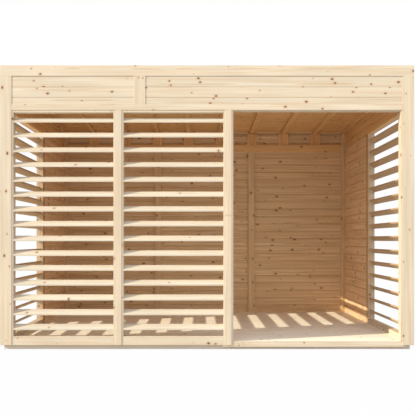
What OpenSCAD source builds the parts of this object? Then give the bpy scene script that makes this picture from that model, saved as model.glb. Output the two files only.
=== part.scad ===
// Flat-roofed garden pavilion of planed spruce: two louvred bays and one open bay in front,
// side walls with a louvred bay and a boarded bay, a boarded back wall and a deep fascia.
// The origin is on the ground, in the middle of the plan. The front faces -Y.

/* [Overall] */
// Width over the corner posts
width = 3810; // [3500:10:4400]
// Depth over the corner posts
depth = 2600; // [2300:20:3200]
// Height from the ground to the top of the fascia
height = 2615; // [2600:5:2700]

/* [Base and floor] */
// Height of the bearers that the walls stand on
bearer_h = 40; // [30:1:50]
// Width of a bearer
bearer_w = 60; // [50:5:80]
// Distance from the wall faces back to the bearers
bearer_inset = 30; // [20:1:40]
// Width of a floor joist
joist_w = 60; // [40:5:80]
// Height of a floor joist
joist_h = 54; // [50:1:60]
// Thickness of the floor boards
floor_t = 20; // [18:1:28]
// Height of the threshold board in the open bay
threshold_h = 50; // [45:1:55]
// Distance from the wall faces back to the threshold board
threshold_set = 8; // [5:1:15]

/* [Posts] */
// Width of a corner post, seen from the front
corner_post_w = 105; // [90:1:120]
// Depth of a corner post, from the front to the back
corner_post = 100; // [95:1:120]
// Width of a post between two bays
post_w = 57; // [45:1:70]
// Thickness of the walls, and depth of the posts between two bays
wall_t = 80; // [75:1:90]
// Clear width of a front louvred bay
bay_w = 956; // [850:2:1000]
// Clear width of a side louvred bay
side_bay_w = 1250; // [1000:1:1300]

/* [Louvres] */
// Number of slats in a panel
slat_count = 15; // [12:1:16]
// Width of a slat's board, measured up its slope
slat_w = 66; // [50:1:75]
// Thickness of a slat's board
slat_t = 12; // [10:1:16]
// Tilt of a slat from the horizontal, in degrees
slat_tilt = 35; // [30:1:45]
// Distance from the stiles' faces back to the slats' front edges
slat_set = 1; // [1:1:5]
// Width of a panel's stiles
stile_w = 17.5; // [14:0.5:30]
// Height of the top rail of a front panel
top_rail_h = 22; // [18:1:30]
// Height of a panel's bottom rail
bottom_rail_h = 81; // [70:1:100]
// Gap between the bottom rail and the lowest slat
low_gap = 57; // [30:1:70]
// Gap between the highest slat and the top rail
high_gap = 41; // [30:1:60]
// Distance from the wall faces back to the panels and the boards
reveal = 5; // [3:1:8]

/* [Open bay] */
// Width of the jambs at the sides of the open bay
jamb_w = 16; // [12:1:30]
// Height of the head over the open bay
head_h = 8; // [6:1:30]
// Distance from the wall faces back to the head
head_set = 12; // [5:1:25]

/* [Walls] */
// Thickness of the boards on the outside of a wall
cladding_t = 18; // [16:1:22]
// Thickness of the boards on the inside of a wall
lining_t = 20; // [16:1:24]
// Width of the two upright battens on the back wall
batten_w = 82; // [70:1:110]
// Distance from the middle of the back wall to each upright batten
batten_x = 608; // [500:1:700]
// Width of the battens in the back corners
corner_batten_w = 45; // [40:1:70]
// Thickness of the battens and of the plate on the back wall
batten_t = 28; // [25:1:35]
// Height of the plate under the rafter seats
plate_h = 93; // [70:1:110]
// Height of a rafter seat
seat_h = 141; // [120:1:160]

/* [Roof] */
// Height of the opening, from the ground to the underside of the fascia
fascia_low = 2204; // [2150:1:2220]
// Height of the fascia's bottom trim
bottom_trim_h = 52; // [40:1:60]
// Height of the fascia's top trim
top_trim_h = 98; // [80:1:110]
// Width of one strip of the fascia's joint cover
cover_strip_w = 52; // [40:1:60]
// Middle of the fascia's joint cover, from the middle of the front
cover_x = -620; // [-900:10:-300]
// Width of a rafter
rafter_w = 60; // [45:1:70]
// Width of the edge rafters along the side walls
edge_rafter_w = 32; // [28:1:60]
// Height of a rafter
rafter_h = 90; // [80:1:100]
// How far the rafters show below the ceiling boards
rafter_show = 36; // [25:1:45]
// Distance between the rafters' centre lines
rafter_pitch = 411; // [360:1:420]
// Underside of the rafters at the back wall
rafter_back_z = 2388; // [2370:1:2395]
// Fall of the roof from front to back, in millimetres a metre
roof_fall = 37; // [10:1:40]
// Thickness of the ceiling boards and of the roof deck
deck_t = 18; // [15:1:20]
// Thickness of the roof membrane
membrane_t = 3; // [2:1:5]

/* [Hidden] */

spruce = "#f0dcbe";
inner_spruce = "#c8a078";
base_spruce = "#dcc8aa";
membrane_grey = "#4a4a4c";

half_w = width / 2;
front_y = -depth / 2;
inner_x = half_w - wall_t;
inner_d = depth - wall_t;
post_x = half_w - corner_post_w;
post_d = depth - corner_post;
floor_z = joist_h + floor_t;
post_top = height - top_trim_h;
panel_h = fascia_low - bearer_h;
trim_t = reveal + cladding_t;

// The front posts' left faces and the open bay's left side, from the middle of the plan.
front_post_1_x = -post_x + bay_w;
front_post_2_x = front_post_1_x + post_w + bay_w;
opening_x = front_post_2_x + post_w;

// The side walls' middle posts, and the start of the boarded bay, behind the front.
middle_d = corner_post + side_bay_w;
boarded_d = middle_d + post_w;

bearer_x = half_w - bearer_inset;
bearer_end = bearer_inset + bearer_w;
joist_count = 7;
joist_pitch = 2 * (bearer_x - bearer_w - joist_w / 2) / (joist_count - 1);
threshold_lap_left = 86;
threshold_lap_right = 20;
stud_w = 45;
seat_cheek = 32;
seat_step = 18;
seat_low = rafter_back_z - seat_h;
fillet_t = 12;
fillet_h = 17;
slat_rise = slat_w * sin(slat_tilt) + slat_t / cos(slat_tilt);

rafter_xs = [for (i = [-3.5 : 1 : 3.5]) i * rafter_pitch];
stud_xs = [for (i = [-3 : 1.5 : 3]) i * rafter_pitch];

// Heights at a distance d behind the front.
function rafter_z(d) = rafter_back_z + roof_fall * (inner_d - d) / 1000;
function ceiling_z(d) = rafter_z(d) + rafter_show;
function deck_z(d) = rafter_z(d) + rafter_h;

// A squared timber between two corners: x from the middle, d back from the front, z up.
module timber(x, d, z)
    translate([x[0], front_y + d[0], z[0]])
        cube([x[1] - x[0], d[1] - d[0], z[1] - z[0]]);

// An outline of [d, z] points, carried from x[0] to x[1].
module prism(x, points)
    translate([x[0], front_y, 0])
        rotate([90, 0, 90])
            linear_extrude(height = x[1] - x[0])
                polygon(points);

// A board that follows the roof's fall: its underside is a height above the rafters' one.
module roof_board(x, d, above, t)
    prism(x, [
        [d[0], rafter_z(d[0]) + above],
        [d[1], rafter_z(d[1]) + above],
        [d[1], rafter_z(d[1]) + above + t],
        [d[0], rafter_z(d[0]) + above + t]
    ]);

module on_left() mirror([1, 0, 0]) children();

module on_both_sides() {
    children();
    on_left() children();
}

// A framed panel of sloping slats, its face in the plane y = 0 and its foot at z = 0.
// The side panels have no top rail: their stiles run up to the header.
module louvre_panel(w, has_top_rail) {
    panel_d = wall_t - reveal;
    first = bottom_rail_h + low_gap;
    last = panel_h - top_rail_h - high_gap - slat_rise;
    pitch = (last - first) / (slat_count - 1);
    cube([w, panel_d, bottom_rail_h]);
    if (has_top_rail)
        translate([0, 0, panel_h - top_rail_h])
            cube([w, panel_d, top_rail_h]);
    for (x = [0, w - stile_w])
        translate([x, 0, 0])
            cube([stile_w, panel_d, panel_h]);
    for (i = [0 : slat_count - 1])
        translate([stile_w / 2, slat_set, first + i * pitch])
            slat(w - stile_w);
}

// One slat: a flat board that rises from front to back, its two edges cut upright.
module slat(w) {
    run = slat_w * cos(slat_tilt);
    rise = slat_w * sin(slat_tilt);
    edge = slat_t / cos(slat_tilt);
    rotate([90, 0, 90])
        linear_extrude(height = w)
            polygon([[0, 0], [run, rise], [run, rise + edge], [0, edge]]);
}

module front_panel(x)
    translate([x, front_y + reveal, bearer_h])
        louvre_panel(bay_w, true);

module right_panel()
    translate([half_w - reveal, front_y + corner_post, bearer_h])
        rotate([0, 0, 90])
            louvre_panel(side_bay_w, false);

module right_corner(d)
    timber([post_x, half_w], [d, d + corner_post], [bearer_h, post_top]);

module front_post(x)
    timber([x, x + post_w], [0, wall_t], [bearer_h, fascia_low]);

module right_middle()
    timber([inner_x, half_w], [middle_d, boarded_d], [bearer_h, fascia_low]);

module corner_set()
    on_both_sides() {
        right_corner(0);
        right_corner(post_d);
    }

// Bearers along the front and the back.
module long_bearers()
    color(base_spruce)
        for (d = [bearer_inset, depth - bearer_end])
            timber([-bearer_x, bearer_x], [d, d + bearer_w], [0, bearer_h]);

module side_bearers()
    color(base_spruce)
        on_both_sides()
            timber([bearer_x - bearer_w, bearer_x], [bearer_end, depth - bearer_end], [0, bearer_h]);

module floor_joists()
    color(base_spruce)
        for (i = [0 : joist_count - 1])
            translate([(i - (joist_count - 1) / 2) * joist_pitch, 0, 0])
                timber([-joist_w / 2, joist_w / 2], [bearer_end, depth - bearer_end], [0, joist_h]);

module floor_deck()
    color(spruce)
        difference() {
            union() {
                timber([-inner_x, inner_x], [wall_t, inner_d], [joist_h, floor_z]);
                timber([opening_x, post_x], [bearer_inset, wall_t + 1], [joist_h, floor_z]);
            }
            corner_set();
        }

// The threshold's lower part runs on under the posts on either side of it.
module threshold() {
    low = floor_z - threshold_h;
    d = [threshold_set, bearer_inset];
    color(spruce) {
        timber([opening_x, post_x], d, [low, floor_z]);
        timber([opening_x - threshold_lap_left, post_x + threshold_lap_right], d, [low, bearer_h]);
    }
}

module front_left_post() color(spruce) on_left() right_corner(0);

module front_right_post() color(spruce) right_corner(0);

module back_left_post() color(spruce) on_left() right_corner(post_d);

module back_right_post() color(spruce) right_corner(post_d);

module front_post_1() color(spruce) front_post(front_post_1_x);

module front_post_2() color(spruce) front_post(front_post_2_x);

module left_middle_post() color(spruce) on_left() right_middle();

module right_middle_post() color(spruce) right_middle();

module front_louvre_1() color(spruce) front_panel(-post_x);

module front_louvre_2() color(spruce) front_panel(front_post_1_x + post_w);

module left_louvre() color(spruce) on_left() right_panel();

module right_louvre() color(spruce) right_panel();

module opening_jambs()
    color(spruce)
        for (x = [opening_x, post_x - jamb_w])
            timber([x, x + jamb_w], [reveal, wall_t], [floor_z, fascia_low]);

module opening_head() {
    x = [opening_x + jamb_w, post_x - jamb_w];
    color(spruce)
        timber(x, [head_set, wall_t], [fascia_low - head_h, fascia_low]);
}

module right_cladding()
    timber([half_w - trim_t, half_w - reveal], [boarded_d, post_d], [bearer_h, fascia_low]);

module left_wall_cladding() color(spruce) on_left() right_cladding();

module right_wall_cladding() color(spruce) right_cladding();

module back_wall_cladding()
    color(spruce)
        timber([-post_x, post_x], [depth - trim_t, depth - reveal], [bearer_h, fascia_low]);

module wall_studs() {
    z = [bearer_h, fascia_low];
    x = [inner_x + lining_t, half_w - trim_t];
    d = [inner_d + lining_t, depth - trim_t];
    edge = post_x - stud_w / 2;
    color(inner_spruce) {
        on_both_sides()
            for (e = [boarded_d, (boarded_d + post_d - stud_w) / 2, post_d - stud_w])
                timber(x, [e, e + stud_w], z);
        for (e = concat([-edge], stud_xs, [edge]))
            timber([e - stud_w / 2, e + stud_w / 2], d, z);
    }
}

module right_lining()
    timber([inner_x, inner_x + lining_t], [boarded_d, post_d], [bearer_h, fascia_low]);

module left_wall_lining() color(inner_spruce) on_left() right_lining();

module right_wall_lining() color(inner_spruce) right_lining();

// An upright layer across the building, up to the ceiling and cut out for the rafters.
module cross_wall(d, low)
    difference() {
        prism([-post_x, post_x], [
            [d[0], low],
            [d[1], low],
            [d[1], ceiling_z(d[1])],
            [d[0], ceiling_z(d[0])]
        ]);
        rafter_set();
    }

module back_wall_lining()
    color(inner_spruce)
        cross_wall([inner_d, inner_d + lining_t], bearer_h);

module back_wall_plate() {
    x = inner_x - corner_batten_w;
    color(inner_spruce)
        timber([-x, x], [inner_d - batten_t, inner_d], [seat_low - plate_h, seat_low]);
}

// The corner battens are rebated over the posts' inner edges.
module back_wall_battens() {
    d = [inner_d - batten_t, inner_d];
    x = [batten_x - batten_w / 2, batten_x + batten_w / 2];
    color(inner_spruce)
        on_both_sides() {
            timber(x, d, [floor_z, seat_low - plate_h]);
            difference() {
                timber([inner_x - corner_batten_w, inner_x], d, [floor_z, rafter_back_z]);
                right_corner(post_d);
            }
        }
}

// Under each rafter a packer stands between two cheeks.
module rafter_seats() {
    d = inner_d - batten_t;
    z = [seat_low, rafter_back_z];
    packer = rafter_w / 2;
    color(inner_spruce)
        for (x = rafter_xs) {
            timber([x - packer - seat_cheek, x - packer], [d, inner_d], z);
            timber([x - packer, x + packer], [d + seat_step, inner_d], z);
            timber([x + packer, x + packer + seat_cheek], [d, inner_d], z);
        }
}

// Small strips that close the joint between the back wall and the ceiling.
module ceiling_fillets() {
    x = post_x;
    top = ceiling_z(inner_d);
    color(inner_spruce)
        difference() {
            timber([-x, x], [inner_d - fillet_t, inner_d], [top - fillet_h, top]);
            rafter_set();
        }
}

module front_header() color(inner_spruce) cross_wall([trim_t, wall_t], fascia_low);

module back_header() color(inner_spruce) cross_wall([inner_d + lining_t, depth - trim_t], fascia_low);

module side_headers()
    color(inner_spruce)
        on_both_sides()
            prism([inner_x, half_w - trim_t], [
                [corner_post, fascia_low],
                [post_d, fascia_low],
                [post_d, deck_z(post_d)],
                [corner_post, deck_z(corner_post)]
            ]);

// Rafters over the headers, and an edge rafter along each side wall between its corner posts.
module rafter_set() {
    for (x = rafter_xs)
        roof_board([x - rafter_w / 2, x + rafter_w / 2], [trim_t, depth - trim_t], 0, rafter_h);
    on_both_sides()
        roof_board([inner_x - edge_rafter_w, inner_x], [corner_post, post_d], 0, rafter_h);
}

module rafters() color(inner_spruce) rafter_set();

module ceiling_boards()
    color(inner_spruce)
        difference() {
            roof_board([-post_x, post_x], [trim_t, depth - trim_t], rafter_show, deck_t);
            rafter_set();
        }

// A layer over the whole roof, cut round the corner posts.
module roof_layer(above, t)
    difference() {
        roof_board([-half_w + trim_t, half_w - trim_t], [trim_t, depth - trim_t], above, t);
        corner_set();
    }

module roof_deck() color(inner_spruce) roof_layer(rafter_h, deck_t);

module roof_membrane() color(membrane_grey) roof_layer(rafter_h + deck_t, membrane_t);

board_z = [fascia_low + bottom_trim_h, post_top];
low_trim_z = [fascia_low, fascia_low + bottom_trim_h];
top_trim_z = [post_top, height];

// The fascia's boards on the front, on either side of the joint cover.
module front_fascia_boards()
    color(spruce) {
        timber([-post_x, cover_x - cover_strip_w], [reveal, trim_t], board_z);
        timber([cover_x + cover_strip_w, post_x], [reveal, trim_t], board_z);
    }

module fascia_joint_cover()
    color(spruce)
        timber([cover_x - cover_strip_w, cover_x + cover_strip_w], [0, trim_t], board_z);

module side_fascia_boards()
    color(spruce)
        on_both_sides()
            timber([half_w - trim_t, half_w - reveal], [corner_post, post_d], board_z);

module back_fascia_boards()
    color(spruce)
        timber([-post_x, post_x], [depth - trim_t, depth - reveal], board_z);

// Trims along the front and the back, and trims along the sides.
module long_top_trims()
    color(spruce)
        for (d = [0, depth - trim_t])
            timber([-half_w, half_w], [d, d + trim_t], top_trim_z);

module side_top_trims()
    color(spruce)
        on_both_sides()
            timber([half_w - trim_t, half_w], [trim_t, depth - trim_t], top_trim_z);

module long_bottom_trims()
    color(spruce)
        for (d = [0, depth - trim_t])
            timber([-post_x, post_x], [d, d + trim_t], low_trim_z);

module side_bottom_trims()
    color(spruce)
        on_both_sides()
            timber([half_w - trim_t, half_w], [corner_post, post_d], low_trim_z);

long_bearers();
side_bearers();
floor_joists();
floor_deck();
threshold();
front_left_post();
front_right_post();
back_left_post();
back_right_post();
front_post_1();
front_post_2();
left_middle_post();
right_middle_post();
front_louvre_1();
front_louvre_2();
left_louvre();
right_louvre();
opening_jambs();
opening_head();
left_wall_cladding();
right_wall_cladding();
back_wall_cladding();
wall_studs();
left_wall_lining();
right_wall_lining();
back_wall_lining();
back_wall_plate();
back_wall_battens();
rafter_seats();
ceiling_fillets();
front_header();
back_header();
side_headers();
rafters();
ceiling_boards();
roof_deck();
roof_membrane();
front_fascia_boards();
fascia_joint_cover();
side_fascia_boards();
back_fascia_boards();
long_top_trims();
side_top_trims();
long_bottom_trims();
side_bottom_trims();
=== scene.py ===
"""Garden pavilion: its timbers and boards with their finishes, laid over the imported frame.

Lengths are in metres. The front faces -Y, and the open bay is at the right of the front.
"""

from __future__ import annotations

import logging
import math
import random
from collections.abc import Callable
from dataclasses import dataclass, replace
from enum import Enum

import bpy
from mathutils import Matrix, Vector


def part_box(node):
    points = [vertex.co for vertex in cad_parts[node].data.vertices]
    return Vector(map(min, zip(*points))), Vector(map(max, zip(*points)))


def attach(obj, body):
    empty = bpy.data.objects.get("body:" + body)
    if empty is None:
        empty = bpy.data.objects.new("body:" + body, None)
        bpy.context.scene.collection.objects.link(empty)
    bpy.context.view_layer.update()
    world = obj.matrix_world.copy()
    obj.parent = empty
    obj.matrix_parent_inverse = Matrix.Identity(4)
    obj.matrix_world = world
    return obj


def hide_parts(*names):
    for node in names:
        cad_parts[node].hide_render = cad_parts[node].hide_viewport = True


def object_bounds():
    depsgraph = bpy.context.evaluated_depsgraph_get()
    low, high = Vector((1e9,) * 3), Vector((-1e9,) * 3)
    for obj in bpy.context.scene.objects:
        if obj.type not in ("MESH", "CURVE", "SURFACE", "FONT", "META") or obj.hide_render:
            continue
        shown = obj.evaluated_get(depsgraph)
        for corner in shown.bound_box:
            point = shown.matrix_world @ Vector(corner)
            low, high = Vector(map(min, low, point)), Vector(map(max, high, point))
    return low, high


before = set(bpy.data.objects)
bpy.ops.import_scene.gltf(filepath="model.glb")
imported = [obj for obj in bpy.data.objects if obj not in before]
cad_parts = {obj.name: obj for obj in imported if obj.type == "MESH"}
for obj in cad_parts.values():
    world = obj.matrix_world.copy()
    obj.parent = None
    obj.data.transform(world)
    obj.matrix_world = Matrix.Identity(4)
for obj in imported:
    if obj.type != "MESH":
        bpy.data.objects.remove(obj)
cad_low, cad_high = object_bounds()

log = logging.getLogger("pavilion")

Colour = tuple[float, float, float]
Item = bpy.types.Object
Socket = bpy.types.NodeSocket

ROOF_FALL = 0.037  # metres down in a metre towards the back
SEED = 11
ARRIS_ANGLE = math.radians(50)  # edges sharper than this are eased
SMOOTH_ANGLE = math.radians(32)  # edges flatter than this are shaded smooth
SAME_POINT = 0.00002
FLAT_ANGLE = 0.002
SQUARE_ON = 0.9  # the least share of its normal on an axis that a face looks along
INSIDE_JOINT = 0.068  # height of the lowest joint of the lining
OUTSIDE_JOINTS = (0.136,)
FASCIA_JOINTS = (2.320, 2.416)


class Facing(Enum):
    """The way that the good side of a boarded face looks."""

    FRONT = "front"
    BACK = "back"
    LEFT = "left"
    RIGHT = "right"
    UP = "up"
    DOWN = "down"


class Palette:
    """Lays out the nodes of one material."""

    def __init__(self, name: str) -> None:
        """Starts a material.

        Args:
            name: The material's name.
        """
        self.material = bpy.data.materials.new(name)
        self.material.use_nodes = True
        self.tree = self.material.node_tree
        self.shader = self.tree.nodes["Principled BSDF"]
        self.output = self.tree.nodes["Material Output"]

    def add(self, kind: str, **settings: object) -> bpy.types.Node:
        """Adds a node.

        Args:
            kind: The node's type.
            **settings: Properties to set on it.

        Returns:
            The new node.
        """
        node = self.tree.nodes.new(kind)
        for key, value in settings.items():
            setattr(node, key, value)
        return node

    def feed(self, value: object, socket: Socket) -> None:
        """Links a socket, or sets a constant.

        Args:
            value: An output socket, a number or a tuple.
            socket: The input that takes it.
        """
        if isinstance(value, Socket):
            self.tree.links.new(value, socket)
        else:
            socket.default_value = value

    def math(
        self, operation: str, first: object, second: object = 0.0, third: object = 0.0, clamp: bool = False
    ) -> Socket:
        """Combines two or three numbers.

        Args:
            operation: The Math node's operation.
            first: The first number or socket.
            second: The second number or socket.
            third: The third number or socket, which MULTIPLY_ADD adds.
            clamp: Whether the result is held between 0 and 1.

        Returns:
            The result's socket.
        """
        node = self.add("ShaderNodeMath", operation=operation, use_clamp=clamp)
        for value, socket in zip((first, second, third), node.inputs):
            self.feed(value, socket)
        return node.outputs[0]

    def vector(self, operation: str, first: object, second: object) -> bpy.types.Node:
        """Combines two vectors.

        Args:
            operation: The Vector Math node's operation.
            first: The first vector or socket.
            second: The second vector or socket.

        Returns:
            The node, whose outputs are Vector and Value.
        """
        node = self.add("ShaderNodeVectorMath", operation=operation)
        self.feed(first, node.inputs[0])
        self.feed(second, node.inputs[1])
        return node

    def steps(
        self, value: object, low: float, high: float, start: float = 0.0, end: float = 1.0
    ) -> Socket:
        """Carries a range of values smoothly to another.

        Args:
            value: The number or socket to carry over.
            low: The value that gives start.
            high: The value that gives end.
            start: The result at low.
            end: The result at high.

        Returns:
            The result's socket.
        """
        node = self.add("ShaderNodeMapRange", interpolation_type="SMOOTHSTEP")
        for given, socket in zip((value, low, high, start, end), node.inputs):
            self.feed(given, socket)
        return node.outputs["Result"]

    def mix(self, share: object, first: object, second: object) -> Socket:
        """Mixes two colours.

        Args:
            share: How much of the second colour shows.
            first: The first colour or socket.
            second: The second colour or socket.

        Returns:
            The mixed colour's socket.
        """
        node = self.add("ShaderNodeMix", data_type="RGBA")  # whose colours are at 6, 7 and 2
        self.feed(share, node.inputs[0])
        self.feed(first, node.inputs[6])
        self.feed(second, node.inputs[7])
        return node.outputs[2]

    def noise(self, place: object, stretch: tuple[float, float, float], detail: float) -> Socket:
        """Makes a noise pattern.

        Args:
            place: The coordinates' socket.
            stretch: How many features come in a metre, along each direction.
            detail: The noise's detail.

        Returns:
            The pattern's socket, around 0.5.
        """
        scaled = self.vector("MULTIPLY", place, stretch).outputs["Vector"]
        node = self.add("ShaderNodeTexNoise")
        self.feed(scaled, node.inputs["Vector"])
        node.inputs["Scale"].default_value = 1.0
        node.inputs["Detail"].default_value = detail
        return node.outputs["Fac"]

    def bump(self, height: Socket, strength: float) -> None:
        """Roughens the surface.

        Args:
            height: The relief's height.
            strength: How strongly it shows.
        """
        node = self.add("ShaderNodeBump")
        node.inputs["Strength"].default_value = strength
        node.inputs["Distance"].default_value = 0.0008
        self.feed(height, node.inputs["Height"])
        self.feed(node.outputs[0], self.shader.inputs["Normal"])


def opaque(colour: Colour) -> tuple[float, float, float, float]:
    """Gives a colour its alpha of 1."""
    return (*colour, 1.0)


@dataclass(frozen=True)
class WoodFinish:
    """Bare spruce, with growth rings, streaks, knots and a light tooth."""

    name: str
    slot: str
    pale: Colour
    late: Colour
    halo: Colour = (0.52, 0.27, 0.11)
    knot: Colour = (0.13, 0.05, 0.022)
    contrast: float = 0.4
    knot_share: float = 0.5
    knot_size: float = 0.0125
    roughness: float = 0.62
    tooth: float = 0.25
    variety: float = 0.09
    fineness: float = 34.0
    streak_depth: float = 0.75
    streak_roughness: float = 0.08
    halo_depth: float = 0.42
    knot_depth: float = 0.92
    brightness: float = 0.985
    shine: float = 0.28
    # the tint of painted shade on faces marked as looking inwards or down, or none
    painted_shade: Colour | None = None

    def make(self) -> bpy.types.Material:
        """Builds the material.

        Returns:
            A material that reads each timber's own "grain" and "tone".
        """
        p = Palette(self.name)
        grain = p.add("ShaderNodeAttribute", attribute_name="grain").outputs["Vector"]
        tone = p.add("ShaderNodeAttribute", attribute_name="tone").outputs["Fac"]
        knot, halo, push = self.knots(p, grain)
        rings = self.rings(p, grain, tone, push)
        streaks = p.steps(p.noise(grain, (1.1, self.fineness, self.fineness), 3.0), 0.36, 0.68)
        lines = p.math("MULTIPLY", rings, self.contrast)
        shade = p.math("MULTIPLY_ADD", streaks, self.contrast * self.streak_depth, lines, clamp=True)
        colour = p.mix(shade, opaque(self.pale), opaque(self.late))
        blush = p.steps(p.noise(grain, (1.6, 9.0, 9.0), 1.0), 0.3, 0.7, 0.96, 1.04)
        paleness = p.math("MULTIPLY_ADD", tone, self.variety, self.brightness - self.variety / 2)
        scaled = p.add("ShaderNodeVectorMath", operation="SCALE")
        p.feed(colour, scaled.inputs[0])
        p.feed(p.math("MULTIPLY", blush, paleness), scaled.inputs["Scale"])
        around = p.math("MULTIPLY", halo, self.halo_depth)
        colour = p.mix(around, scaled.outputs[0], opaque(self.halo))
        colour = p.mix(p.math("MULTIPLY", knot, self.knot_depth), colour, opaque(self.knot))
        # painted shade: marked faces that look into the room or down are tinted darker and browner
        if self.painted_shade is not None:
            share = p.add("ShaderNodeAttribute", attribute_name="painted_shade").outputs["Fac"]
            colour = p.mix(share, colour, p.vector("MULTIPLY", colour, self.painted_shade).outputs["Vector"])
        p.feed(colour, p.shader.inputs["Base Color"])
        rough = p.math("MULTIPLY_ADD", streaks, self.streak_roughness, self.roughness)
        p.feed(rough, p.shader.inputs["Roughness"])
        p.shader.inputs["Specular IOR Level"].default_value = self.shine
        self.relief(p, grain, rings, knot)
        return p.material

    def knots(self, p: Palette, grain: object) -> tuple[object, object, object]:
        """Scatters knots over the timber.

        Args:
            p: The palette to draw with.
            grain: The timber's own coordinates.

        Returns:
            The knots' mask, the mask of the darker wood round them, and how far they push the rings.
        """
        cell = (0.31, 0.085)  # holds one knot at most
        roundness, crispness, halo_reach, halo_fade = 0.72, 420.0, 2.3, 1.6
        least, core = 0.001, 0.004  # keep the divisions away from zero
        place = p.vector("MULTIPLY", grain, (1 / cell[0], 1 / cell[1], 0.0)).outputs["Vector"]
        seeds = p.add("ShaderNodeTexVoronoi", voronoi_dimensions="2D", feature="F1")
        p.feed(place, seeds.inputs["Vector"])
        seeds.inputs["Scale"].default_value = 1.0
        away = p.vector("SUBTRACT", place, seeds.outputs["Position"]).outputs["Vector"]
        metric = p.vector("MULTIPLY", away, (cell[0] * roundness, cell[1], 0.0)).outputs["Vector"]
        reach = p.vector("LENGTH", metric, (0.0, 0.0, 0.0)).outputs["Value"]
        draw = p.add("ShaderNodeSeparateColor")
        p.feed(seeds.outputs["Color"], draw.inputs[0])
        size = p.add("ShaderNodeMapRange")
        p.feed(draw.outputs[0], size.inputs["Value"])
        size.inputs["From Min"].default_value = 1.0 - self.knot_share
        size.inputs["To Max"].default_value = self.knot_size
        radius = size.outputs["Result"]
        gap = p.math("SUBTRACT", radius, reach)
        knot = p.math("MULTIPLY_ADD", gap, crispness, -0.5, clamp=True)
        outer = p.math("SUBTRACT", p.math("MULTIPLY", radius, halo_reach), reach)
        halo = p.math("DIVIDE", outer, p.math("MULTIPLY_ADD", radius, halo_fade, least), clamp=True)
        side = p.add("ShaderNodeSeparateXYZ")
        p.feed(metric, side.inputs[0])
        bend = p.math("DIVIDE", side.outputs[1], p.math("ADD", reach, core))
        push = p.math("MULTIPLY", p.math("MULTIPLY", bend, halo), radius)
        return knot, halo, push

    def rings(self, p: Palette, grain: object, tone: object, push: object) -> object:
        """Cuts the timber out of a slightly crooked trunk.

        Args:
            p: The palette to draw with.
            grain: The timber's own coordinates.
            tone: The timber's own draw, from 0 to 1.
            push: How far the knots push the rings.

        Returns:
            The dark lines' mask.
        """
        spread, wobble, ring_width = 0.11, 0.024, 0.0052
        least_depth, depth_range, shuffle = 0.02, 0.05, 9.7
        pale_until, darkest, dark_until = 0.35, 0.86, 0.88
        split = p.add("ShaderNodeSeparateXYZ")
        p.feed(grain, split.inputs[0])
        heart = p.math("MULTIPLY", p.math("SUBTRACT", tone, 0.5), spread)
        side = p.math("SUBTRACT", p.math("SUBTRACT", split.outputs[1], push), heart)
        below = p.math("FRACT", p.math("MULTIPLY", tone, shuffle))
        depth = p.math("MULTIPLY_ADD", below, depth_range, least_depth)
        deep = p.math("ADD", split.outputs[2], depth)
        square = p.math("ADD", p.math("MULTIPLY", side, side), p.math("MULTIPLY", deep, deep))
        crooked = p.noise(grain, (0.9, 5.0, 5.0), 1.5)
        wander = p.math("MULTIPLY", p.math("SUBTRACT", crooked, 0.5), wobble)
        radius = p.math("ADD", p.math("SQRT", square), wander)
        ring = p.math("FRACT", p.math("DIVIDE", radius, ring_width))
        rise = p.steps(ring, pale_until, darkest)
        return p.math("MULTIPLY", rise, p.steps(ring, dark_until, 1.0, 1.0, 0.0))

    def relief(self, p: Palette, grain: object, rings: object, knot: object) -> None:
        """Raises the late wood and the fibres a little.

        Args:
            p: The palette to draw with.
            grain: The timber's own coordinates.
            rings: The dark lines' mask.
            knot: The knots' mask.
        """
        late_rise, fibre_rise, knot_drop = 0.45, 0.5, 0.4
        fibre = p.math("MULTIPLY", p.noise(grain, (55.0, 900.0, 900.0), 2.0), fibre_rise)
        height = p.math("ADD", p.math("MULTIPLY", rings, late_rise), fibre)
        p.bump(p.math("SUBTRACT", height, p.math("MULTIPLY", knot, knot_drop)), self.tooth)


@dataclass(frozen=True)
class MembraneFinish:
    """Grey mineral roofing sheet, with grit and faint stains where water stands."""

    name: str = "roofing_sheet"
    slot: str = "membrane"
    tone: Colour = (0.055, 0.056, 0.06)
    worn: Colour = (0.11, 0.11, 0.112)
    tooth: float = 0.4

    def make(self) -> bpy.types.Material:
        """Builds the material.

        Returns:
            A material that reads object coordinates.
        """
        p = Palette(self.name)
        place = p.add("ShaderNodeTexCoord").outputs["Object"]
        grit = p.noise(place, (420.0, 420.0, 420.0), 2.0)
        stains = p.steps(p.noise(place, (2.2, 1.3, 1.0), 4.0), 0.4, 0.7)
        share = p.math("MULTIPLY", p.math("ADD", grit, stains), 0.5, clamp=True)
        p.feed(p.mix(share, opaque(self.tone), opaque(self.worn)), p.shader.inputs["Base Color"])
        p.feed(p.steps(grit, 0.2, 0.8, 0.72, 0.92), p.shader.inputs["Roughness"])
        p.bump(grit, self.tooth)
        return p.material


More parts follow.
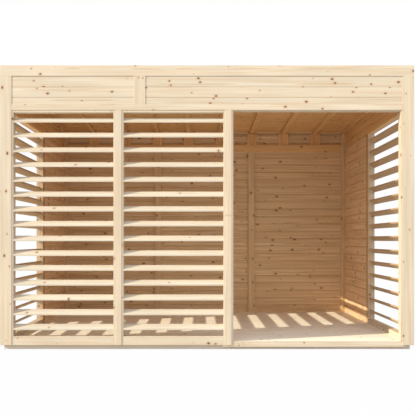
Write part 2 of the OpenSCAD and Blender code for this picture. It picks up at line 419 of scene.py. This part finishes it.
class Bench:
    """Cuts, shapes, copies and joins timbers, and lays each one's grain."""

    def __init__(self) -> None:
        """Starts with no material made and a set order of draws."""
        self.dice = random.Random(SEED)
        self.finishes: dict[str, bpy.types.Material] = {}

    def pick(self, *objects: Item) -> None:
        """Selects only these objects, the first one active."""
        bpy.ops.object.select_all(action="DESELECT")
        for item in objects:
            item.select_set(True)
        bpy.context.view_layer.objects.active = objects[0]

    def choose(self, item: Item, kind: str, test: Callable[[object], bool]) -> None:
        """Enters edit mode with only some elements selected.

        Args:
            item: The object to edit.
            kind: "edges" or "polygons".
            test: Says of an element whether it is selected.
        """
        mesh = item.data
        for group in (mesh.vertices, mesh.edges, mesh.polygons):
            group.foreach_set("select", [False] * len(group))
        for element in getattr(mesh, kind):
            element.select = test(element)
        bpy.context.tool_settings.mesh_select_mode = (False, kind == "edges", kind == "polygons")
        bpy.ops.object.mode_set(mode="EDIT")

    def done(self) -> None:
        """Leaves edit mode."""
        bpy.ops.object.mode_set(mode="OBJECT")

    def block(self, low: Vector, high: Vector) -> Item:
        """Saws a square block.

        Args:
            low: Its lowest corner.
            high: Its highest corner.

        Returns:
            The block, with its place in its mesh.
        """
        bpy.ops.mesh.primitive_cube_add(size=1.0, location=(low + high) / 2)
        item = bpy.context.active_object
        item.scale = high - low
        bpy.ops.object.transform_apply(location=True, rotation=True, scale=True)
        return item

    def ease(self, item: Item, arris: float) -> None:
        """Rounds the arrises.

        Args:
            item: The timber.
            arris: How far the rounding reaches from each edge.
        """
        self.pick(item)
        bevel = item.modifiers.new("arris", "BEVEL")
        bevel.width = arris
        bevel.segments = 2
        bevel.limit_method = "ANGLE"
        bevel.angle_limit = ARRIS_ANGLE
        bpy.ops.object.modifier_apply(modifier=bevel.name)

    def cut(self, item: Item, place: Vector, away: Vector, off: bool = True) -> None:
        """Saws along a plane.

        Args:
            item: The timber.
            place: A point on the plane.
            away: The plane's normal, towards the side that is sawn off.
            off: Whether that side goes. Otherwise only a line is left on the faces.
        """
        self.pick(item)
        bpy.ops.object.mode_set(mode="EDIT")
        bpy.ops.mesh.select_all(action="SELECT")
        bpy.ops.mesh.bisect(plane_co=place, plane_no=away, use_fill=off, clear_outer=off)
        self.done()

    def mark(self, item: Item, along_x: bool = False) -> None:
        """Lays the timber's own grain on it.

        Args:
            item: The timber, square to the axes.
            along_x: Whether its grain runs along X, and not along its longest side.
        """
        low, high = self.extent(item)
        size = high - low
        order = sorted(range(3), key=lambda axis: -size[axis])
        if along_x:
            order.remove(0)
            order.insert(0, 0)
        middle = (low + high) / 2
        along, across = 180.0, 0.03
        start = self.dice.uniform(0.0, along)
        lift = self.dice.uniform(-across, across)
        flip = self.dice.choice((-1.0, 1.0))
        coordinates: list[float] = []
        for vertex in item.data.vertices:
            away = vertex.co - middle
            coordinates += (away[order[0]] * flip + start, away[order[1]] + lift, away[order[2]])
        layer = item.data.attributes.new("grain", "FLOAT_VECTOR", "POINT")
        layer.data.foreach_set("vector", coordinates)
        draw = self.dice.random()
        layer = item.data.attributes.new("tone", "FLOAT", "POINT")
        layer.data.foreach_set("value", [draw] * len(item.data.vertices))

    def extent(self, item: Item) -> tuple[Vector, Vector]:
        """Measures a mesh.

        Args:
            item: An object whose place is in its mesh.

        Returns:
            Its lowest and its highest corner.
        """
        points = [vertex.co for vertex in item.data.vertices]
        low = Vector([min(point[axis] for point in points) for axis in range(3)])
        high = Vector([max(point[axis] for point in points) for axis in range(3)])
        return low, high

    def copy(self, item: Item, move: Matrix) -> Item:
        """Copies a piece with its own mesh and moves it.

        Args:
            item: The piece to copy.
            move: Where the copy goes, from where the piece is.

        Returns:
            The copy, with its place in its mesh.
        """
        twin = item.copy()
        twin.data = item.data.copy()
        bpy.context.scene.collection.objects.link(twin)
        twin.data.transform(move)
        return twin

    def move(self, item: Item, move: Matrix) -> Item:
        """Moves a piece in its mesh and returns it."""
        item.data.transform(move)
        return item

    def solids(self, node: str) -> list[Item]:
        """Takes a copy of a node's solids, each as an object with clean faces.

        Args:
            node: The node's name.

        Returns:
            The solids, from left to right and from front to back, by tenths of a millimetre.
        """
        item = bpy.data.objects.new(node + "_solid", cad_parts[node].data.copy())
        bpy.context.scene.collection.objects.link(item)
        item.data.materials.clear()
        self.pick(item)
        bpy.ops.mesh.customdata_custom_splitnormals_clear()
        bpy.ops.object.mode_set(mode="EDIT")
        bpy.ops.mesh.select_all(action="SELECT")
        bpy.ops.mesh.remove_doubles(threshold=SAME_POINT)
        bpy.ops.mesh.dissolve_limited(angle_limit=FLAT_ANGLE)
        bpy.ops.mesh.select_all(action="SELECT")
        bpy.ops.mesh.separate(type="LOOSE")
        self.done()
        parts = list(bpy.context.selected_objects)
        return sorted(parts, key=lambda part: [round(value, 4) for value in self.extent(part)[0]])

    def boxes(self, node: str) -> list[tuple[Vector, Vector]]:
        """Measures a node's solids one by one, in the order of solids().

        Args:
            node: The node's name.

        Returns:
            The lowest and the highest corner of each.
        """
        solids = self.solids(node)
        boxes = [self.extent(solid) for solid in solids]
        for solid in solids:
            bpy.data.objects.remove(solid)
        return boxes

    def join(self, name: str, parts: list[Item]) -> Item:
        """Joins parts into one piece.

        Args:
            name: The piece's name.
            parts: The parts, which are used up.

        Returns:
            The piece.
        """
        self.pick(*parts)
        if len(parts) > 1:
            bpy.ops.object.join()
        piece = bpy.context.active_object
        piece.name = name
        piece.data.name = name
        bpy.ops.object.shade_smooth_by_angle(angle=SMOOTH_ANGLE)
        flat = piece.modifiers.new("flat_faces", "WEIGHTED_NORMAL")
        flat.keep_sharp = True
        bpy.ops.object.modifier_apply(modifier=flat.name)
        return piece

    def paint_room_shade(self, piece: Item) -> None:
        """Marks how far each face in a side wall looks inwards, where painted shade makes the wood darker
        and browner.

        A face that sees the room or looks down is marked in full, and another that looks into
        the building in part.

        Args:
            piece: The piece, in its place.
        """
        in_full, in_part = 1.0, 0.55
        above_floor, past_post, ahead_by = 0.11, 0.01, 0.1
        left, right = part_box("floor_deck")
        front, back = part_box("front_louvre_1")[1].y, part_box("back_wall_lining")[0].y
        foot, head = right.z + above_floor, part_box("long_bottom_trims")[0].z
        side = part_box("front_right_post")[0].x + past_post
        room = (Vector((left.x, front, foot)), Vector((right.x, back, head)))
        whole = (Vector((cad_low[0], cad_low[1], foot)), Vector((cad_high[0], cad_high[1], head)))

        def within(point: Vector, box: tuple[Vector, Vector]) -> bool:
            """Whether a point lies in a box."""
            return all(box[0][axis] < point[axis] < box[1][axis] for axis in range(3))

        marks: list[float] = []
        for face in piece.data.polygons:
            ahead = face.center + face.normal * ahead_by
            # painted shade in full where a face sees the room or looks down, in part where it looks into
            # the building
            share = in_full if within(ahead, room) or face.normal.z < -SQUARE_ON else in_part
            marks.append(share if abs(face.center.x) > side and within(ahead, whole) else 0.0)
        layer = piece.data.attributes.new("painted_shade", "FLOAT", "FACE")
        layer.data.foreach_set("value", marks)

    def fit(self, piece: Item, finish: WoodFinish | MembraneFinish, *nodes: str) -> None:
        """Finishes a piece and fixes it to the frame.

        Args:
            piece: The piece.
            finish: Its finish.
            *nodes: The frame's nodes that it stands for.
        """
        if finish.name not in self.finishes:
            self.finishes[finish.name] = finish.make()
        piece.data.materials.append(self.finishes[finish.name])
        if isinstance(finish, WoodFinish) and finish.painted_shade is not None:
            self.paint_room_shade(piece)
        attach(piece, "root")
        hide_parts(*nodes)
        log.info("%s: %d faces", piece.name, len(piece.data.polygons))


# The tint of painted shade on outer timbers' faces that look into the room or down
PAINTED_ROOM_SHADE = (0.8, 0.62, 0.45)
PLANED = WoodFinish(
    "planed_spruce",
    "outer_timber",
    (0.722, 0.617, 0.481),
    (0.598, 0.427, 0.262),
    knot=(0.17, 0.07, 0.03),
    contrast=0.5,
    knot_share=0.9,
    knot_size=0.0122,
    painted_shade=PAINTED_ROOM_SHADE,
)
LOUVRE = replace(
    PLANED,
    name="louvre_spruce",
    pale=(0.682, 0.604, 0.494),
    late=(0.594, 0.45, 0.296),
    contrast=0.4,
    knot_share=0.5,
    knot_size=0.0108,
)
# The room's spruce: the wood's own colour, made darker and more saturated than the outer timbers as
# painted shade of the room; the side walls' copy is paler and the ceiling's redder, each set to the light
# that falls there
INSIDE = WoodFinish(
    "inside_spruce",
    "inner_timber",
    (0.774, 0.556, 0.34),
    (0.612, 0.374, 0.184),
    halo=(0.42, 0.19, 0.07),
    knot=(0.19, 0.075, 0.03),
    contrast=0.8,
    knot_share=1.0,
    knot_size=0.0132,
    variety=0.05,
    fineness=62.0,
)
SIDES = replace(INSIDE, name="side_spruce", pale=(0.889, 0.641, 0.404), late=(0.735, 0.453, 0.236))
ROOF = replace(
    INSIDE,
    name="roof_spruce",
    pale=(0.821, 0.526, 0.258),
    late=(0.694, 0.376, 0.148),
    contrast=0.75,
    knot_share=0.85,
    knot_size=0.0125,
)
FLOOR = WoodFinish(
    "floor_spruce",
    "floor_timber",
    (0.98, 0.905, 0.77),
    (0.93, 0.815, 0.65),
    contrast=0.32,
    knot_share=0.3,
    variety=0.04,
)
BASE = WoodFinish(
    "base_spruce",
    "base_timber",
    (0.71, 0.614, 0.503),
    (0.561, 0.425, 0.303),
    roughness=0.72,
)


def placing(
    low: Vector, high: Vector, facing: Facing, tilt: float = 0.0
) -> tuple[Matrix, Vector, float, float]:
    """Works out how a layer that is made along X, looking towards -Y, is turned and placed.

    Args:
        low: The lowest corner of the layer.
        high: Its highest corner.
        facing: The way that the good side looks.
        tilt: The layer's fall, as an angle about X.

    Returns:
        The turn, the starting corner, the layer's length and its other extent.
    """
    size = high - low
    quarter = math.radians(90)
    if facing is Facing.FRONT:
        return Matrix.Identity(4), low, size.x, size.z
    if facing is Facing.BACK:
        return Matrix.Rotation(2 * quarter, 4, "Z"), Vector((high.x, high.y, low.z)), size.x, size.z
    if facing is Facing.RIGHT:
        return Matrix.Rotation(quarter, 4, "Z"), Vector((high.x, low.y, low.z)), size.y, size.z
    if facing is Facing.LEFT:
        return Matrix.Rotation(-quarter, 4, "Z"), Vector((low.x, high.y, low.z)), size.y, size.z
    if facing is Facing.UP:
        return Matrix.Rotation(-quarter, 4, "X"), Vector((low.x, low.y, high.z)), size.x, size.y
    return Matrix.Rotation(quarter + tilt, 4, "X"), Vector((low.x, high.y, low.z)), size.x, size.y


@dataclass
class Timbers:
    """Squared timbers that follow their node's solids, with eased arrises."""

    node: str
    finish: WoodFinish
    arris: float = 0.0018

    def build(self, bench: Bench) -> Item:
        """Builds the timbers.

        Args:
            bench: The bench to work at.

        Returns:
            The finished piece.
        """
        parts = bench.solids(self.node)
        for part in parts:
            bench.ease(part, self.arris)
            bench.mark(part)
        piece = bench.join(self.node + "_timber", parts)
        bench.fit(piece, self.finish, self.node)
        return piece


@dataclass
class Matchboards:
    """Tongued and grooved boards over a rectangular face."""

    thickness: float
    cover: float = 0.096
    chamfer: float = 0.0028
    tongue: float = 0.006
    shadow_gap: float = 0.0008
    groove: tuple[float, float] = (0.42, 0.7)
    clearance: float = 0.0008

    def board(self, bench: Bench, length: float, width: float, has_tongue: bool) -> Item:
        """Planes one board that lies along X, its good side towards -Y and its tongue up.

        Args:
            bench: The bench to work at.
            length: The board's length.
            width: The width that it covers.
            has_tongue: Whether its upper edge keeps the tongue.

        Returns:
            The board, its lower front corner at the origin.
        """
        top = width - self.shadow_gap
        item = bench.block(Vector((0, 0, 0)), Vector((length, self.thickness, top)))
        for share in self.groove:
            side = Vector((0.0, self.thickness * share, 0.0))
            bench.cut(item, side, Vector((0.0, 1.0, 0.0)), off=False)
        middle = self.thickness * sum(self.groove) / 2
        near = self.thickness * 0.05

        def strip(face: object, up: float) -> bool:
            """Whether a face is the middle strip of the upper or the lower edge."""
            return face.normal.z * up > SQUARE_ON and abs(face.center.y - middle) < near

        if has_tongue:
            bench.choose(item, "polygons", lambda face: strip(face, 1.0))
            bpy.ops.mesh.extrude_region_move(TRANSFORM_OT_translate={"value": (0.0, 0.0, self.tongue)})
            bench.done()
        bench.choose(item, "polygons", lambda face: strip(face, -1.0))
        deep = (0.0, 0.0, self.tongue + self.clearance)
        bpy.ops.mesh.extrude_region_move(TRANSFORM_OT_translate={"value": deep})
        bench.done()
        points = item.data.vertices

        def arris(edge: object) -> bool:
            """Whether an edge is a long arris of the good side."""
            first, second = (points[index].co for index in edge.vertices)
            good_side = max(abs(first.y), abs(second.y)) < SAME_POINT
            return good_side and abs(first.x - second.x) > SAME_POINT

        bench.choose(item, "edges", arris)
        bpy.ops.mesh.bevel(offset=self.chamfer, segments=1, affect="EDGES")
        bench.done()
        return item

    def cover_face(
        self,
        bench: Bench,
        low: Vector,
        high: Vector,
        facing: Facing,
        joints: list[float],
        tilt: float = 0.0,
    ) -> list[Item]:
        """Covers a face with boards.

        Args:
            bench: The bench to work at.
            low: The lowest corner of the layer of boards.
            high: Its highest corner.
            facing: The way that the good side looks.
            joints: Distances of the joints from the first edge, in rising order.
            tilt: The layer's fall, as an angle about X.

        Returns:
            The boards.
        """
        turn, start, length, reach = placing(low, high, facing, tilt)
        sliver = 0.004
        edges = [0.0, *[joint for joint in joints if sliver < joint < reach - sliver], reach]
        patterns: dict[tuple[float, bool], Item] = {}
        boards: list[Item] = []
        for index, (bottom, top) in enumerate(zip(edges, edges[1:])):
            last = index == len(edges) - 2
            key = (round(top - bottom, 5), not last)
            if key not in patterns:
                patterns[key] = self.board(bench, length, top - bottom, not last)
            board = bench.copy(patterns[key], Matrix.Translation((0.0, 0.0, bottom)))
            bench.mark(board, along_x=True)
            boards.append(bench.move(board, Matrix.Translation(start) @ turn))
        for pattern in patterns.values():
            bpy.data.objects.remove(pattern)
        return boards

    def rows(self, reach: float, first: float) -> list[float]:
        """Lists the joints of whole boards.

        Args:
            reach: The width to cover.
            first: The distance of the first joint from the edge.

        Returns:
            The joints' distances from the edge.
        """
        return [first + index * self.cover for index in range(int(reach / self.cover) + 2)]


def lining_boards(thickness: float, tongue: float = 0.006) -> Matchboards:
    """Gives matchboards with the wide joints that the room's linings have."""
    return Matchboards(thickness, chamfer=0.0035, tongue=tongue, shadow_gap=0.0055)


@dataclass
class BoardedFace:
    """Matchboards in place of a node's plain panels.

    The joints are given by their heights, or by the lowest alone where whole boards follow it.
    Without a facing, each panel looks outwards on its own side.
    """

    node: str
    finish: WoodFinish
    joints: tuple[float, ...]
    facing: Facing | None = None

    def build(self, bench: Bench) -> Item:
        """Builds the boards.

        Args:
            bench: The bench to work at.

        Returns:
            The finished piece.
        """
        parts: list[Item] = []
        for low, high in bench.boxes(self.node):
            facing = self.facing or (Facing.LEFT if low.x < 0 else Facing.RIGHT)
            thin = min((high - low).xy)
            boards = lining_boards(thin) if self.finish is SIDES else Matchboards(thin)
            joints = [joint - low.z for joint in self.joints]
            if len(joints) == 1:
                joints = boards.rows(high.z - low.z, joints[0])
            parts += boards.cover_face(bench, low, high, facing, joints)
        suffix = "_laid" if self.node.endswith("_boards") else "_boards"
        piece = bench.join(self.node + suffix, parts)
        bench.fit(piece, self.finish, self.node)
        return piece


@dataclass
class HeaderLining:
    """The side walls above their bays: a core with lining boards on the room's side."""

    node: str = "side_headers"
    lining: float = 0.02
    arris: float = 0.001

    def build(self, bench: Bench) -> Item:
        """Builds the cores and their boards.

        Args:
            bench: The bench to work at.

        Returns:
            The finished piece.
        """
        parts: list[Item] = []
        for core in bench.solids(self.node):
            low, high = bench.extent(core)
            right = low.x > 0
            inner = low.x if right else high.x
            away = 1.0 if right else -1.0
            bench.cut(core, Vector((inner + away * self.lining, 0.0, 0.0)), Vector((-away, 0.0, 0.0)))
            bench.ease(core, self.arris)
            bench.mark(core)
            edges = sorted((inner, inner + away * self.lining))
            boards = lining_boards(self.lining)
            first = boards.cover - (low.z - INSIDE_JOINT) % boards.cover
            joints = boards.rows(high.z - low.z, first)
            corner = Vector((edges[0], low.y, low.z))
            facing = Facing.LEFT if right else Facing.RIGHT
            laid = boards.cover_face(bench, corner, Vector((edges[1], high.y, high.z)), facing, joints)
            for board in laid:
                bench.cut(board, Vector((0.0, low.y, high.z)), Vector((0.0, ROOF_FALL, 1.0)))
            parts += [core, *laid]
        piece = bench.join(self.node + "_boards", parts)
        bench.fit(piece, ROOF, self.node)
        return piece


@dataclass
class BackLining:
    """The back wall's lining: whole boards up to the rafters, then short ones between them."""

    node: str = "back_wall_lining"
    gap_above: float = 0.001

    def build(self, bench: Bench) -> Item:
        """Builds the lining.

        Args:
            bench: The bench to work at.

        Returns:
            The finished piece.
        """
        low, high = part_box(self.node)
        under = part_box("rafter_seats")[1].z
        boards = lining_boards(high.y - low.y)
        top = Vector((high.x, high.y, under))
        joints = boards.rows(under - low.z, INSIDE_JOINT - low.z)
        parts = boards.cover_face(bench, low, top, Facing.FRONT, joints)
        for left, right in bench.boxes("ceiling_boards"):
            start = Vector((left.x, low.y, under))
            end = Vector((right.x, high.y, high.z - self.gap_above))
            parts += boards.cover_face(bench, start, end, Facing.FRONT, [])
        piece = bench.join(self.node + "_boards", parts)
        bench.fit(piece, INSIDE, self.node)
        return piece


@dataclass
class Skirting:
    """A strip along the back wall's foot, a little thicker than the battens that stand over it."""

    height: float = 0.024
    thickness: float = 0.03
    arris: float = 0.002

    def build(self, bench: Bench) -> Item:
        """Builds the strip.

        Args:
            bench: The bench to work at.

        Returns:
            The finished piece.
        """
        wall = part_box("back_wall_lining")[0].y
        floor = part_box("floor_deck")[1].z
        left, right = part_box("back_wall_battens")
        high = Vector((right.x, wall, floor + self.height))
        strip = bench.block(Vector((left.x, wall - self.thickness, floor)), high)
        bench.ease(strip, self.arris)
        bench.mark(strip)
        piece = bench.join("back_wall_skirting", [strip])
        bench.fit(piece, INSIDE)
        return piece


@dataclass
class FloorBoards:
    """The floor: whole boards across, a strip along the front and back, and one in the open bay."""

    node: str = "floor_deck"
    strip: float = 0.02
    post: float = 0.025
    chamfer: float = 0.0015

    def build(self, bench: Bench) -> Item:
        """Builds the floor.

        Args:
            bench: The bench to work at.

        Returns:
            The finished piece.
        """
        low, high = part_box(self.node)
        boards = Matchboards(high.z - low.z, chamfer=self.chamfer)
        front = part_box("front_louvre_1")[1].y
        left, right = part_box("opening_jambs")
        start, end = front + self.strip, high.y - self.strip
        between_posts = (low.x + self.post, high.x - self.post)
        parts: list[Item] = []
        for across, along, joints in (
            (between_posts, (front, start), []),
            (between_posts, (end, high.y), []),
            ((low.x, high.x), (start, end), boards.rows(end - start, boards.cover)),
            ((left.x, right.x), (low.y, front), []),
        ):
            near, far = (Vector((x, y, z)) for x, y, z in zip(across, along, (low.z, high.z)))
            parts += boards.cover_face(bench, near, far, Facing.UP, joints)
        piece = bench.join(self.node + "_boards", parts)
        bench.fit(piece, FLOOR, self.node)
        return piece


@dataclass
class CeilingBoards:
    """Matchboards across each bay between two rafters, with the roof's fall."""

    node: str = "ceiling_boards"
    thickness: float = 0.018
    tongue: float = 0.005

    def build(self, bench: Bench) -> Item:
        """Builds the ceiling.

        Args:
            bench: The bench to work at.

        Returns:
            The finished piece.
        """
        boards = lining_boards(self.thickness, self.tongue)
        parts: list[Item] = []
        tilt = -math.atan(ROOF_FALL)
        for low, high in bench.boxes(self.node):
            joints = boards.rows(high.y - low.y, boards.cover)
            parts += boards.cover_face(bench, low, high, Facing.DOWN, joints, tilt)
        piece = bench.join(self.node + "_laid", parts)
        bench.fit(piece, ROOF, self.node)
        return piece


@dataclass
class LouvrePanel:
    """A framed panel of sloping slats, let into its stiles."""

    node: str
    facing: Facing
    slat_count: int = 15
    slat_width: float = 0.066
    slat_thickness: float = 0.012
    tilt: float = 35.0
    set_back: float = 0.001
    stile: float = 0.0175
    top_rail: float = 0.022
    bottom_rail: float = 0.081
    low_gap: float = 0.057
    high_gap: float = 0.041
    arris: float = 0.0015

    def build(self, bench: Bench) -> list[Item]:
        """Builds the panel.

        Args:
            bench: The bench to work at.

        Returns:
            The finished surround and the finished slats.
        """
        low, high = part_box(self.node)
        turn, start, wide, tall = placing(low, high, self.facing)
        deep = min((high - low).xy)
        surround = bench.join(self.node + "_surround", self.surround(bench, wide, deep, tall))
        slats = bench.join(self.node + "_slats", self.slats(bench, wide, tall))
        for piece, finish in ((surround, PLANED), (slats, LOUVRE)):
            bench.move(piece, Matrix.Translation(start) @ turn)
            bench.fit(piece, finish, self.node)
        return [surround, slats]

    def surround(self, bench: Bench, wide: float, deep: float, tall: float) -> list[Item]:
        """Makes the two stiles and the rails. A side panel has no top rail.

        Args:
            bench: The bench to work at.
            wide: The panel's width.
            deep: Its depth.
            tall: Its height.

        Returns:
            The timbers.
        """
        inner = (self.stile, wide - self.stile)
        corners = [
            ((0.0, 0.0, 0.0), (self.stile, deep, tall)),
            ((inner[1], 0.0, 0.0), (wide, deep, tall)),
            ((inner[0], 0.0, 0.0), (inner[1], deep, self.bottom_rail)),
        ]
        if self.facing is Facing.FRONT:
            corners.append(((inner[0], 0.0, tall - self.top_rail), (inner[1], deep, tall)))
        timbers = [bench.block(Vector(low), Vector(high)) for low, high in corners]
        for timber in timbers:
            bench.ease(timber, self.arris)
            bench.mark(timber)
        return timbers

    def slats(self, bench: Bench, wide: float, tall: float) -> list[Item]:
        """Makes the slats, their front edges low and their edges upright.

        Args:
            bench: The bench to work at.
            wide: The panel's width.
            tall: Its height.

        Returns:
            The slats.
        """
        housing = self.stile / 2
        angle = math.radians(self.tilt)
        run, rise = self.slat_width * math.cos(angle), self.slat_width * math.sin(angle)
        edge = self.slat_thickness / math.cos(angle)
        pattern = bench.block(Vector((housing, 0.0, 0.0)), Vector((wide - housing, run, edge)))
        bench.choose(pattern, "polygons", lambda face: face.normal.y > SQUARE_ON)
        bpy.ops.transform.translate(value=(0.0, 0.0, rise))
        bench.done()
        bench.ease(pattern, self.arris)
        first = self.bottom_rail + self.low_gap
        last = tall - self.top_rail - self.high_gap - rise - edge
        pitch = (last - first) / (self.slat_count - 1)
        made: list[Item] = []
        for index in range(self.slat_count):
            place = Matrix.Translation((0.0, self.set_back, first + index * pitch))
            slat = bench.copy(pattern, place)
            bench.mark(slat)
            made.append(slat)
        bpy.data.objects.remove(pattern)
        return made


@dataclass
class RoofSheet:
    """The membrane, laid in strips from side to side with lapped joints."""

    node: str = "roof_membrane"
    strip: float = 0.95
    lap: float = 0.1
    lap_rise: float = 0.0025
    inset: float = 0.002
    sunk: float = 0.001
    arris: float = 0.0015

    def build(self, bench: Bench) -> Item:
        """Builds the sheet.

        Args:
            bench: The bench to work at.

        Returns:
            The finished piece.
        """
        parts = bench.solids(self.node)
        low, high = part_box(self.node)
        edge = low.y + self.strip
        while edge < high.y - self.lap:
            height = high.z - ROOF_FALL * (edge - low.y)
            start = Vector((low.x + self.inset, edge, height - self.sunk))
            end = Vector((high.x - self.inset, edge + self.lap, height + self.lap_rise))
            lap = bench.block(start, end)
            bench.ease(lap, self.arris)
            about = Matrix.Translation((0.0, edge, height))
            fall = Matrix.Rotation(-math.atan(ROOF_FALL), 4, "X")
            parts.append(bench.move(lap, about @ fall @ about.inverted()))
            edge += self.strip
        piece = bench.join(self.node + "_sheet", parts)
        bench.fit(piece, MembraneFinish(), self.node)
        return piece


@dataclass
class Setting:
    """The floor, the sky, the sun and the camera."""

    sun: tuple[float, float, float] = (1.0, 0.33, -0.526)
    sun_strength: float = 4.2
    sun_width: float = 0.3
    sun_colour: Colour = (1.0, 0.94, 0.76)
    sky: Colour = (0.9, 0.94, 1.0)
    sky_strength: float = 1.172
    ground_size: float = 80.0
    ground_shade: Colour = (0.46, 0.46, 0.46)
    whiteness: float = 0.97
    eye: tuple[float, float, float] = (-0.0745, -7.3, 1.008)
    lens: float = 56.6
    shift: tuple[float, float] = (0.0207, 0.0783)

    def build(self) -> None:
        """Sets the scene round the pavilion."""
        scene = bpy.context.scene
        scene.view_settings.view_transform = "Standard"
        self.ground()
        self.heaven()
        lamp = bpy.data.lights.new("sun", "SUN")
        lamp.energy = self.sun_strength
        lamp.angle = math.radians(self.sun_width)
        lamp.color = self.sun_colour
        holder = bpy.data.objects.new("sun", lamp)
        holder.rotation_euler = Vector(self.sun).to_track_quat("-Z", "Y").to_euler()
        scene.collection.objects.link(holder)
        camera = bpy.data.cameras.new("camera")
        camera.lens = self.lens
        camera.sensor_width = 36.0
        camera.shift_x, camera.shift_y = self.shift
        stand = bpy.data.objects.new("camera", camera)
        stand.location = self.eye
        stand.rotation_euler = (math.radians(90), 0.0, 0.0)
        scene.collection.objects.link(stand)
        scene.camera = stand

    def ground(self) -> None:
        """Lays a pale floor that reads as white and keeps a soft shadow."""
        bpy.ops.mesh.primitive_plane_add(size=self.ground_size)
        floor = bpy.context.active_object
        floor.name = "stage_floor"
        p = Palette("stage_floor")
        p.shader.inputs["Base Color"].default_value = opaque(self.ground_shade)
        p.shader.inputs["Roughness"].default_value = 0.9
        glow = p.add("ShaderNodeEmission")
        shown = p.add("ShaderNodeMixShader")
        shown.inputs[0].default_value = self.whiteness
        path = p.add("ShaderNodeLightPath")
        final = p.add("ShaderNodeMixShader")
        for source, target in (
            (p.shader.outputs[0], shown.inputs[1]),
            (glow.outputs[0], shown.inputs[2]),
            (path.outputs["Is Camera Ray"], final.inputs[0]),
            (p.shader.outputs[0], final.inputs[1]),
            (shown.outputs[0], final.inputs[2]),
            (final.outputs[0], p.output.inputs["Surface"]),
        ):
            p.feed(source, target)
        floor.data.materials.append(p.material)

    def heaven(self) -> None:
        """Makes a soft even sky that is seen as white."""
        world = bpy.data.worlds.new("sky")
        bpy.context.scene.world = world
        world.use_nodes = True
        tree = world.node_tree
        tree.nodes.clear()
        light = tree.nodes.new("ShaderNodeBackground")
        light.inputs["Color"].default_value = opaque(self.sky)
        light.inputs["Strength"].default_value = self.sky_strength
        seen = tree.nodes.new("ShaderNodeBackground")
        seen.inputs["Color"].default_value = (1.0, 1.0, 1.0, 1.0)
        path = tree.nodes.new("ShaderNodeLightPath")
        either = tree.nodes.new("ShaderNodeMath")
        either.operation = "MAXIMUM"
        choice = tree.nodes.new("ShaderNodeMixShader")
        output = tree.nodes.new("ShaderNodeOutputWorld")
        for source, target in (
            (path.outputs["Is Camera Ray"], either.inputs[0]),
            (path.outputs["Is Glossy Ray"], either.inputs[1]),
            (either.outputs[0], choice.inputs[0]),
            (light.outputs[0], choice.inputs[1]),
            (seen.outputs[0], choice.inputs[2]),
            (choice.outputs[0], output.inputs["Surface"]),
        ):
            tree.links.new(source, target)


OUTER_TIMBERS = (
    "threshold",
    *[f"{place}_post" for place in ("front_left", "front_right", "back_left", "back_right")],
    "front_post_1",
    "front_post_2",
    "left_middle_post",
    "right_middle_post",
    "opening_jambs",
    "opening_head",
    "fascia_joint_cover",
    *[f"{place}_trims" for place in ("long_top", "side_top", "long_bottom", "side_bottom")],
)
WALL_TIMBERS = ("wall_studs", "back_wall_battens")
ROOF_TIMBERS = (
    "back_wall_plate",
    "rafter_seats",
    "ceiling_fillets",
    "front_header",
    "back_header",
    "roof_deck",
)
BASE_TIMBERS = ("long_bearers", "side_bearers", "floor_joists")


def pavilion() -> list[object]:
    """Lists the pavilion's parts in the order that they are built.

    Returns:
        The parts, each with a build method.
    """
    return [
        *[Timbers(node, BASE, arris=0.002) for node in BASE_TIMBERS],
        FloorBoards(),
        *[Timbers(node, PLANED) for node in OUTER_TIMBERS],
        LouvrePanel("front_louvre_1", Facing.FRONT),
        LouvrePanel("front_louvre_2", Facing.FRONT),
        LouvrePanel("left_louvre", Facing.LEFT),
        LouvrePanel("right_louvre", Facing.RIGHT),
        BoardedFace("left_wall_cladding", PLANED, OUTSIDE_JOINTS),
        BoardedFace("right_wall_cladding", PLANED, OUTSIDE_JOINTS),
        BoardedFace("back_wall_cladding", PLANED, OUTSIDE_JOINTS, Facing.BACK),
        BoardedFace("left_wall_lining", SIDES, (INSIDE_JOINT,), Facing.RIGHT),
        BoardedFace("right_wall_lining", SIDES, (INSIDE_JOINT,), Facing.LEFT),
        BackLining(),
        Skirting(),
        HeaderLining(),
        *[Timbers(node, INSIDE, arris=0.002) for node in WALL_TIMBERS],
        *[Timbers(node, ROOF, arris=0.002) for node in ROOF_TIMBERS],
        Timbers("rafters", ROOF, arris=0.006),
        CeilingBoards(),
        RoofSheet(),
        BoardedFace("front_fascia_boards", PLANED, FASCIA_JOINTS, Facing.FRONT),
        BoardedFace("side_fascia_boards", PLANED, FASCIA_JOINTS),
        BoardedFace("back_fascia_boards", PLANED, FASCIA_JOINTS, Facing.BACK),
    ]


def main() -> None:
    """Builds the pavilion and its setting."""
    logging.basicConfig(level=logging.INFO, format="%(message)s")
    bench = Bench()
    for assembly in pavilion():
        assembly.build(bench)
    Setting().build()


if __name__ == "__main__":
    main()
